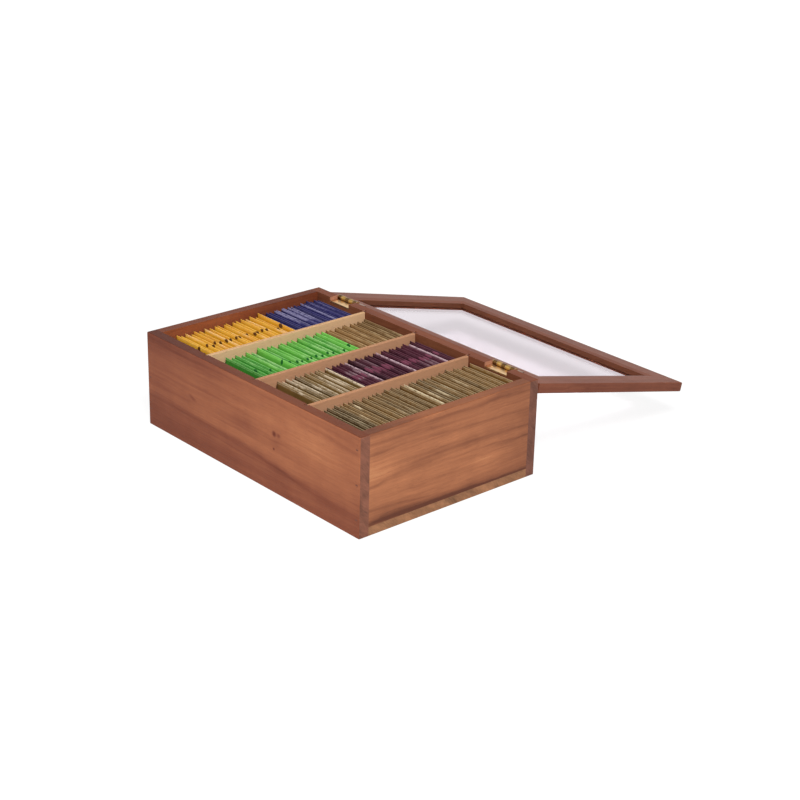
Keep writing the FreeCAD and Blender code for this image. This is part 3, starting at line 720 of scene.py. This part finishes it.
# How far in from its seals at the sides, foot and top an envelope reaches its full thickness.
SIDE_SLOPE = 14 * MM
FOOT_SLOPE = 8 * MM
TOP_SLOPE = 26 * MM

# Creases and waves in the paper: cells per metre across and up, and a slice of the noise for the waves.
CREASE_CELLS = (55, 40)
PAPER_WAVE_CELLS = (38, 14)
PAPER_WAVE_SLICE = 7.3
CREASE_SHARES = (0.85, 0.3)
LOOSE_FROM_SHARE = 0.3
SHIFT_SHARE = 0.9

# How unevenly they stand: the most they turn and roll, in radians, lean, in shares of the room for one,
# and bend, the least and the most that they swell, and how far their noise and their tone may differ.
MOST_YAW = 0.010
MOST_ROLL = 0.006
MOST_LEAN_SHARE = 0.16
MOST_BEND = 0.5 * MM
SWELL_SHARES = (0.75, 1.0)
MOST_PHASE = 100
MOST_TONE = 0.3
MARK_JITTER = 1.5

# The whole width of a sachet's top, in hundredths.
FULL = (0, 100)


def solids_of(node):
    """The separate solids of a node as lists of their corners, from the chest's front to its back."""
    mesh = bmesh.new()
    mesh.from_mesh(frame["nodes"][node].data)
    bmesh.ops.remove_doubles(mesh, verts=mesh.verts, dist=TINY)
    left = set(mesh.verts)
    groups = []
    while left:
        reached = [left.pop()]
        group = []
        while reached:
            vertex = reached.pop()
            group.append(vertex.co.copy())
            near = {edge.other_vert(vertex) for edge in vertex.link_edges} & left
            left -= near
            reached += near
        groups.append(sorted(group, key=tuple))
    mesh.free()
    return sorted(groups, key=lambda group: sum((corner.y for corner in group), 0.0))


def middle(points):
    return sum(points, Vector()) / len(points)


def sachet_frame(corners):
    """Where one sachet stands: the middle of its foot and of its top, and its left and right sides."""
    corners = sorted(corners, key=lambda corner: corner.z)
    sides = [corner.x for corner in corners]
    return middle(corners[:4]), middle(corners[4:]), min(sides), max(sides)


def smooth_step(value, low, high):
    share = min(max((value - low) / (high - low), 0), 1)
    return share * share * (3 - 2 * share)


def window(percent, low, high, soft=5):
    """One between two places along a sachet's top, in hundredths of its width, and zero away from them."""
    rise = 1 if low <= 0 else smooth_step(percent, low - soft, low + soft)
    fall = 1 if high >= 100 else 1 - smooth_step(percent, high - soft, high + soft)
    return rise * fall


def on_edge(column, row):
    return column in (0, COLUMNS) or row in (0, ROWS)


def envelope(mesh, layers, stand, room, draw, look):
    """One paper sachet: two sheets sealed all round, swollen by the bag inside, with waves in its top."""
    foot, top, left, right = stand
    upwards = (top - foot).normalized()
    height = (top - foot).length + look["taller"]
    outwards = Vector((1, 0, 0)).cross(upwards)
    yaw = draw.uniform(-MOST_YAW, MOST_YAW)
    roll = draw.uniform(-MOST_ROLL, MOST_ROLL)
    lean = draw.uniform(-MOST_LEAN_SHARE, MOST_LEAN_SHARE) * room
    phase = draw.uniform(0, MOST_PHASE)
    swell = draw.uniform(*SWELL_SHARES)
    bend = draw.uniform(-MOST_BEND, MOST_BEND)
    half = (room - NEIGHBOUR_GAP) / 2
    width = right - left
    centre = (left + right) / 2

    def thickness(column, row, from_side, inset, rise):
        """Half the thickness at a place: nothing on the edges, thin in the seals, full over the bag."""
        if on_edge(column, row):
            return 0
        body = smooth_step(inset, SIDE_SEAL, SIDE_SEAL + SIDE_SLOPE)
        above_foot = smooth_step(rise, SEAL, SEAL + FOOT_SLOPE)
        body *= above_foot * smooth_step(height - rise, SEAL, SEAL + TOP_SLOPE)
        across, up = CREASE_CELLS
        crease = noise.noise(Vector((from_side * across + phase, rise * up, phase)))
        least, more = CREASE_SHARES
        thick = SEAL_HALF + (half - SEAL_HALF) * body * swell * (least + more * crease)
        return min(thick, half)

    def point(column, row, side):
        """Where a corner of the mesh is, and its spot on the flat paper."""
        share = column / COLUMNS
        climb = 1 - (1 - row / ROWS) ** TOP_SHARE
        rise = climb * height
        from_side = (share - 0.5) * width
        thick = thickness(column, row, from_side, min(share, 1 - share) * width, rise)
        across, up = PAPER_WAVE_CELLS
        wave = noise.noise(Vector((from_side * across + phase, PAPER_WAVE_SLICE, rise * up)))
        loose = smooth_step(climb, LOOSE_FROM_SHARE, 1)
        bow = bend * (4 * share * (1 - share) - 0.5)
        shift = loose * (EDGE_WAVE * wave + lean + bow) + yaw * from_side * loose
        rise += roll * from_side * loose
        place = foot + Vector((centre + from_side - foot.x, 0, 0)) + upwards * rise
        place += outwards * (-side * thick + shift * SHIFT_SHARE)
        return place, Vector((from_side, height * (1 - climb), side))

    def vertex(column, row, side):
        """A corner of the mesh, with what the paper's material reads from it."""
        place, spot = point(column, row, side)
        percent = 100 * column / COLUMNS
        # How strong the painted highlight along the top is at this corner.
        pale = max((strength * window(percent, *reach) for reach, strength in look["pale"]), default=0)
        made = mesh.verts.new(place)
        made[layers["spot"]] = spot
        made[layers["tone"]] = Vector((look["tone"], pale, look["deep"]))
        made[layers["mark"]] = Vector(look["mark"])
        return made

    front = {(c, r): vertex(c, r, 1) for c in range(COLUMNS + 1) for r in range(ROWS + 1)}
    back = {key: front[key] if on_edge(*key) else vertex(*key, -1) for key in front}
    for column in range(COLUMNS):
        for row in range(ROWS):
            ring = ((column, row), (column + 1, row), (column + 1, row + 1), (column, row + 1))
            mesh.faces.new([front[key] for key in ring])
            mesh.faces.new([back[key] for key in reversed(ring)])


# For each kind of sachet, counted from the front: its colours; the sachets with a painted highlight along
# the top, its reach along the top in hundredths and its strength; those with a dark mark, its place along
# the top in hundredths, its half width and half height in millimetres; those that stand taller, in
# millimetres; and those of a deeper or lighter tone. The edge colour is that of the print and of the
# painted highlights, and trim is that of the cut edge.
KINDS = {
    "sachets_yellow": {
        "slot": "yellow_paper",
        "base": (240, 186, 50), "second": (226, 158, 34), "edge": (252, 206, 142), "mark": (100, 62, 22),
        "pale": (((2,), (0, 45), 0.5), ((6,), (0, 95), 0.7), ((4,), (62, 100), 0.6),
                 ((9, 10), (35, 62), 0.4), ((12,), (70, 100), 0.5), ((15,), (0, 62), 0.6),
                 ((16, 17), (66, 100), 0.7)),
        "marks": (((0,), 59, 2.2, 3.6), ((2, 3, 4, 5, 7, 8, 11, 14, 15), 53, 2.2, 1.5),
                  ((6, 9, 12, 13, 17), 55, 2.7, 1.6), ((18,), 57, 3.0, 2.2)),
        "taller": {0: 0.6, 17: -0.5, 18: 1.2},
        "tones": {},
    },
    "sachets_blue": {
        "slot": "blue_paper",
        "base": (38, 36, 96), "second": (28, 28, 76), "edge": (182, 176, 212), "mark": (30, 28, 66),
        "trim": (128, 122, 172),
        "pale": (((3, 4, 5, 6, 7, 8), (0, 62), 0.5), ((4, 6, 8), (56, 96), 0.25), ((11,), (0, 92), 0.5),
                 ((13, 15), (10, 50), 0.15)),
        "marks": (),
        "taller": {},
        "tones": {0: 0.4, 1: 0.4, 2: 0.2, 9: 0.2, 12: 0.3, 14: 0.3, 16: 0.3},
    },
    "sachets_green": {
        "slot": "green_paper",
        "base": (112, 198, 74), "second": (66, 158, 54), "edge": (190, 236, 160), "mark": (34, 104, 42),
        "pale": (((5,), FULL, 0.6), ((4,), (30, 75), 0.35), ((2,), (30, 46), 0.3), ((7,), (20, 50), 0.2),
                 ((8, 9, 10, 11), (52, 86), 0.3), ((12, 13, 14, 15, 16, 17), (34, 80), 0.35),
                 ((16,), FULL, 0.3)),
        "marks": (((1,), 56, 2.8, 1.8), ((3,), 66, 1.6, 1.4), ((6,), 58, 1.6, 2.6),
                  ((7,), 64, 2.0, 1.5), ((8, 10, 12, 14), 68, 2.0, 1.2),
                  ((9, 11, 13, 15, 17), 71, 1.8, 1.1), ((19,), 62, 2.6, 2.0)),
        "taller": {5: -0.6, 6: 1.5, 7: 0.6, 19: 1.0},
        "tones": {0: 0.9, 1: 0.7, 2: 0.6, 3: 0.4, 5: 0.5, 6: -0.5, 7: 0.2, 19: -0.2},
    },
    "sachets_tan": {
        "slot": "tan_paper",
        "base": (146, 107, 62), "second": (106, 74, 38), "edge": (220, 190, 144), "mark": (74, 52, 30),
        "pale": (((0, 2, 4, 7, 9), (40, 60), 0.35), ((1, 3, 6, 8, 10), (66, 90), 0.3),
                 ((5,), (10, 30), 0.3)),
        "marks": (),
        "taller": {},
        "tones": {0: -0.2, 1: -0.2, 2: -0.2, 5: 0.2, 7: 0.3, 8: 0.3, 9: 0.4, 10: 0.4},
    },
    "sachets_khaki": {
        "slot": "khaki_paper",
        "base": (134, 103, 54), "second": (95, 72, 35), "edge": (240, 221, 193), "mark": (66, 50, 28),
        "pale": (((0,), (50, 58), 0.8), ((1, 2, 3), (0, 42), 0.5), ((3, 4, 5), (40, 66), 0.6),
                 ((5, 6, 7), (50, 84), 0.45), ((7, 8), (20, 66), 0.5), ((9,), (40, 70), 0.5),
                 ((10,), FULL, 0.8)),
        "marks": (),
        "taller": {10: 0.4},
        "tones": {0: -0.2, 1: -0.2, 4: 0.4, 6: -0.3},
    },
    "sachets_plum": {
        "slot": "plum_paper",
        "base": (72, 24, 42), "second": (44, 13, 27), "edge": (212, 180, 188), "mark": (128, 68, 88),
        "trim": (142, 94, 106),
        "pale": (((4, 12, 20), FULL, 0.9), ((1, 2, 3), (30, 62), 0.4), ((6, 8), (0, 40), 0.2),
                 ((16, 17, 18), (56, 84), 0.25)),
        "marks": (((1, 2, 3), 52, 5.0, 1.2), ((5, 6, 7, 8, 9, 10), 46, 6.4, 1.4),
                  ((13, 14, 15, 16), 52, 5.4, 1.3), ((17, 18, 19, 21), 55, 4.4, 1.1)),
        "taller": {5: 0.4},
        "tones": {0: 0.2, 5: 0.4, 9: 0.3},
    },
    "sachets_olive": {
        "slot": "olive_paper",
        "base": (132, 95, 47), "second": (92, 66, 33), "edge": (238, 218, 180), "mark": (92, 70, 36),
        "pale": (((0,), (50, 57), 0.8), ((3,), (40, 62), 0.3), ((7,), (14, 28), 0.9),
                 ((7,), (84, 100), 0.8), ((5,), (40, 60), 0.35), ((12, 14), (60, 80), 0.25),
                 ((21,), FULL, 0.9), ((22, 24), (40, 66), 0.6), ((27, 30), (30, 60), 0.35)),
        "marks": (((0,), 66, 2.6, 1.6),),
        "taller": {37: -0.4, 38: 0.8},
        "tones": {0: 0.4, 1: 0.8, 2: 0.9, 3: 0.8, 4: 0.6, 23: 0.5, 25: 0.5, 38: -0.5},
    },
}

# The paler panel on the face of a sachet and its two rules, measured down from the top.
PANEL_TOP = 17 * MM
PANEL_FOOT = 58 * MM
PANEL_HALF = 22 * MM
PANEL_STRENGTH = 0.55
RULES = (24 * MM, 52 * MM)
RULE_EDGE = (0.5 * MM, 0.8 * MM)
RULE_STRENGTH = 0.8
PRINT_SOFTNESS = 0.6 * MM

# The top of a sachet: where its painted highlight ends, its cut edge, the line of its fold and the depth of
# its painted shade.
HIGHLIGHT_EDGE = (0.9 * MM, 2.3 * MM)
CUT_EDGE = 1.1 * MM
FOLD_LEVEL = 1.7 * MM
FOLD_HALF = 0.8 * MM
TRIM_STRENGTH = 0.3
PAINTED_SHADE_DEPTH = (2 * MM, 4.5 * MM)
PAINTED_SHADE_STRENGTH = 0.36

# The paper's noises: cells per metre sideways, downwards and by tone, detail and roughness.
CLOUDS = ((60, 90, 3), 3)
FINE_GRAIN = ((700, 900, 5), 2)
BREAKS = ((230, 420, 3), 2)
CREASES = ((110, 60, 3), 4, 0.6)
TONE_STEP = 31.7

# How the clouds and the tone of a sachet mix, and where the second and the darkest colour take over.
CLOUD_WEIGHT = 0.8
TONE_WEIGHT = 0.6
SECOND_SPAN = (0.1, 0.8)
DARKER_SPAN = (0.8, 1.5)
DARKER_SHARE = 0.6
BREAK_SPAN = (0.3, 0.55, 0.25, 1)
MARK_EDGE = (0.85, 1.15)

RIB_PITCH = 1.3 * MM
RIB_HEIGHT = 0.012
RIB_SOFTNESS = 0.5 * MM
FINE_HEIGHT = 0.12
PAPER_SHEEN = 0.18
PAPER_RELIEF = 0.4 * MM


def printed_face(graph, colour, sideways, down, edge, mark):
    """A paler panel below the seal, with two plain rules."""
    wide = graph.below(graph.unsigned(sideways), PANEL_HALF, PANEL_HALF + PRINT_SOFTNESS)
    high = graph.spread(down, PANEL_TOP, PANEL_TOP + PRINT_SOFTNESS)
    panel = graph.times(high, wide, graph.below(down, PANEL_FOOT, PANEL_FOOT + PRINT_SOFTNESS))
    colour = graph.mix(graph.times(panel, PANEL_STRENGTH), colour, edge)
    for height in RULES:
        rule = graph.below(graph.unsigned(graph.minus(down, height)), *RULE_EDGE)
        colour = graph.mix(graph.times(rule, panel, RULE_STRENGTH), colour, mark)
    return colour


def highlight_and_trim(graph, colour, where, down, pale, edge, trim):
    """A painted highlight along the top, broken here and there, and the cut edge and the fold that all
    sachets have.
    """
    broken = graph.spread(graph.noise(where, *BREAKS), *BREAK_SPAN)
    # A painted highlight along the top of the sachets that have one.
    painted_highlight = graph.times(graph.below(down, *HIGHLIGHT_EDGE), graph.times(broken, pale))
    colour = graph.mix(graph.spread(down, 0, CUT_EDGE, TRIM_STRENGTH, 0), colour, trim)
    colour = graph.mix(painted_highlight, colour, edge)
    from_fold = graph.unsigned(graph.minus(down, FOLD_LEVEL))
    fold = graph.spread(from_fold, 0, FOLD_HALF, TRIM_STRENGTH, 0)
    return graph.mix(graph.times(fold, broken), colour, trim)


def paper(colours):
    """Coated paper: crimped seals, creases, a painted highlight on some tops, painted shade below each top
    and a plain dark mark on some.
    """
    graph = Graph(f"{colours['slot']}_coated")
    sideways, down, _ = graph.attribute("spot")
    tone, pale, deep = graph.attribute("tone")
    mark_place, mark_width, mark_height = graph.attribute("mark")
    where = graph.combine(sideways, down, graph.times(tone, TONE_STEP))
    cloud = graph.noise(where, *CLOUDS)
    fine = graph.noise(where, *FINE_GRAIN)
    base, second, edge, mark = [shade(*colours[part]) for part in ("base", "second", "edge", "mark")]
    trim = shade(*colours.get("trim", colours["edge"]))
    darker = tuple(DARKER_SHARE * part for part in second)
    blend = graph.plus(graph.times(cloud, CLOUD_WEIGHT), graph.times(tone, TONE_WEIGHT), deep)
    colour = graph.mix(graph.spread(blend, *SECOND_SPAN), base, second)
    colour = graph.mix(graph.spread(blend, *DARKER_SPAN), colour, darker)
    colour = printed_face(graph, colour, sideways, down, edge, mark)
    colour = highlight_and_trim(graph, colour, where, down, pale, edge, trim)
    # Painted shade: darker with depth below the top, as between neighbouring sachets.
    colour = graph.mix(graph.spread(down, *PAINTED_SHADE_DEPTH, 0, PAINTED_SHADE_STRENGTH), colour, darker)

    from_centre = graph.divide(graph.minus(sideways, mark_place), mark_width)
    from_level = graph.divide(graph.minus(down, mark_height), mark_height)
    reach = graph.vector("LENGTH", graph.combine(from_centre, from_level, 0))
    colour = graph.mix(graph.below(reach, *MARK_EDGE), colour, mark)

    in_seal = graph.below(down, SEAL, SEAL + RIB_SOFTNESS)
    ribs = graph.maths("SINE", graph.times(sideways, 2 * math.pi / RIB_PITCH))
    creases = graph.noise(where, *CREASES)
    relief = graph.plus(graph.times(ribs, in_seal, RIB_HEIGHT), creases, graph.times(fine, FINE_HEIGHT))
    gloss = graph.spread(cloud, *PAPER_GLOSS, "LINEAR")
    sockets = {"Base Color": colour, "Roughness": gloss, "Specular IOR Level": PAPER_SHEEN}
    return graph.surface(sockets, relief, PAPER_RELIEF)


def sachet_look(colours, index, width, draw):
    """How one sachet of a kind differs from the others. One without a mark has one too small to see."""
    mark = (0, TINY, TINY)
    for sachets, percent, half_width, half_height in colours["marks"]:
        if index in sachets:
            jitter = draw.uniform(-MARK_JITTER, MARK_JITTER)
            mark = (((percent + jitter) / 100 - 0.5) * width, half_width * MM, half_height * MM)
    return {
        "tone": draw.uniform(-MOST_TONE, MOST_TONE),
        "deep": colours["tones"].get(index, 0),
        "taller": colours["taller"].get(index, 0) * MM,
        # Where this sachet's top carries a painted highlight, and how strongly.
        "pale": [(reach, strength) for sachets, reach, strength in colours["pale"] if index in sachets],
        "mark": mark,
    }


def row_of_envelopes(kind, colours, draw):
    """The mesh of one kind of sachet, each in the room between its neighbours."""
    stands = [sachet_frame(corners) for corners in solids_of(kind)]
    mesh = bmesh.new()
    vectors = mesh.verts.layers.float_vector
    layers = {name: vectors.new(name) for name in ("spot", "tone", "mark")}
    for index, stand in enumerate(stands):
        foot, top, left, right = stand
        other = stands[index + 1] if index + 1 < len(stands) else stands[index - 1]
        lean = math.atan2(top.y - foot.y, top.z - foot.z)
        room = abs(other[0].y - foot.y) * math.cos(lean)
        look = sachet_look(colours, index, right - left, draw)
        envelope(mesh, layers, stand, room, draw, look)
    bmesh.ops.recalc_face_normals(mesh, faces=mesh.faces)
    data = bpy.data.meshes.new(f"{kind}_envelopes")
    mesh.to_mesh(data)
    mesh.free()
    data.shade_smooth()
    return data


def fill_compartments():
    """Each kind of sachet as one piece, with its sachets a little uneven, as a hand leaves them."""
    for order, (kind, colours) in enumerate(KINDS.items()):
        data = row_of_envelopes(kind, colours, random.Random(100 + order))
        data.materials.append(paper(colours))
        piece = bpy.data.objects.new(f"{kind}_envelopes", data)
        bpy.context.scene.collection.objects.link(piece)
        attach(piece, CHEST_BODY)
        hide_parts(kind)


# Floor, light and camera


# The floor is this large each way and lies this far below the chest. It takes shadows near the chest
# only: farther out its glow alone makes it white.
FLOOR_REACH = 4.0
FLOOR_DROP = 0.2 * MM
SHADOW_REACH = (0.36, 0.75)
FULL_GLOW = 1.1

# A grey and a glow, for the camera and for what metal and glass show, and a plain grey for other light.
FLOOR_SEEN = (120, 0.87)
FLOOR_MIRRORED = (168, 0.61)
FLOOR_LIT = 232

# Lamps: direction from the front towards the right and upwards, in degrees, distance, size and power.
LAMPS = {
    "key": (56, 52, 2.4, 0.7, 45),
    "fill": (-35, 30, 2.6, 1.8, 10),
}
AMBIENT = 0.37


def lay_floor():
    """A plain white floor that shows white, also in metal and through glass, and keeps a faint shadow."""
    mesh = bmesh.new()
    bmesh.ops.create_grid(mesh, x_segments=1, y_segments=1, size=FLOOR_REACH)
    data = bpy.data.meshes.new("floor")
    mesh.to_mesh(data)
    mesh.free()
    floor = bpy.data.objects.new("floor", data)
    floor.location.z = -FLOOR_DROP
    bpy.context.scene.collection.objects.link(floor)
    graph = Graph("white_floor")
    distance = graph.vector("LENGTH", graph.place())

    def matt(grey):
        return graph.add("BsdfDiffuse", {"Color": shade(grey, grey, grey)}).outputs[0]

    def white(grey, glow):
        """A grey that takes shadows, with a glow that brings it to white where no shadow falls."""
        strength = graph.spread(distance, *SHADOW_REACH, glow, FULL_GLOW)
        lift = graph.add("Emission", {"Color": (1, 1, 1, 1), "Strength": strength})
        return graph.add("AddShader", {0: matt(grey), 1: lift.outputs[0]}).outputs[0]

    rays = graph.add("LightPath").outputs
    indirect = graph.maths("MAXIMUM", rays["Is Glossy Ray"], rays["Is Transmission Ray"])
    mirrored = {0: indirect, 1: matt(FLOOR_LIT), 2: white(*FLOOR_MIRRORED)}
    other = graph.add("MixShader", mirrored).outputs[0]
    seen = graph.add("MixShader", {0: rays["Is Camera Ray"], 1: other, 2: white(*FLOOR_SEEN)})
    graph.add("OutputMaterial", {"Surface": seen.outputs[0]})
    data.materials.append(graph.material)


def light_world():
    """White where the camera, metal and glass look at it, and a plain soft light for everything else."""
    world = bpy.data.worlds.new("studio")
    world.use_nodes = True
    tree = world.node_tree
    tree.nodes.clear()
    rays = tree.nodes.new("ShaderNodeLightPath").outputs
    direct = rays["Is Camera Ray"]
    for name in ("Is Glossy Ray", "Is Transmission Ray"):
        larger = tree.nodes.new("ShaderNodeMath")
        larger.operation = "MAXIMUM"
        tree.links.new(direct, larger.inputs[0])
        tree.links.new(rays[name], larger.inputs[1])
        direct = larger.outputs[0]
    strength = tree.nodes.new("ShaderNodeMapRange")
    strength.inputs["To Min"].default_value = AMBIENT
    strength.inputs["To Max"].default_value = 1
    tree.links.new(direct, strength.inputs["Value"])
    background = tree.nodes.new("ShaderNodeBackground")
    background.inputs["Color"].default_value = (1, 1, 1, 1)
    tree.links.new(strength.outputs["Result"], background.inputs["Strength"])
    output = tree.nodes.new("ShaderNodeOutputWorld")
    tree.links.new(background.outputs[0], output.inputs["Surface"])
    bpy.context.scene.world = world


def hang_lamps():
    """Square soft lamps that look at the middle of the chest and its open lid."""
    aim = (cad_box[0] + cad_box[1]) / 2
    for name, (azimuth, elevation, distance, size, power) in LAMPS.items():
        turn, climb = math.radians(azimuth), math.radians(elevation)
        level = math.cos(climb)
        towards = Vector((math.sin(turn) * level, -math.cos(turn) * level, math.sin(climb)))
        lamp = bpy.data.lights.new(name, "AREA")
        lamp.size = size
        lamp.energy = power
        holder = bpy.data.objects.new(name, lamp)
        holder.location = aim + towards * distance
        holder.rotation_mode = "QUATERNION"
        holder.rotation_quaternion = (-towards).to_track_quat("-Z", "Y")
        bpy.context.scene.collection.objects.link(holder)


def set_camera():
    camera = bpy.data.objects.new("camera", bpy.data.cameras.new("camera"))
    camera.data.lens = CAMERA_LENS
    camera.data.sensor_width = SENSOR_WIDTH
    backward = -CAMERA_FORWARD.normalized()
    right = (-CAMERA_DOWN).cross(backward).normalized()
    upward = backward.cross(right)
    turn = Matrix((right, upward, backward)).transposed().to_4x4()
    camera.matrix_world = Matrix.Translation(CAMERA_PLACE) @ turn
    bpy.context.scene.collection.objects.link(camera)
    bpy.context.scene.camera = camera


bpy.context.scene.view_settings.view_transform = "Standard"
stain_boards()
dress_dividers()
stain_lid()
polish_brass()
fill_brads()
glaze_lid()
fill_compartments()
lay_floor()
light_world()
hang_lamps()
set_camera()

bpy.context.view_layer.update()
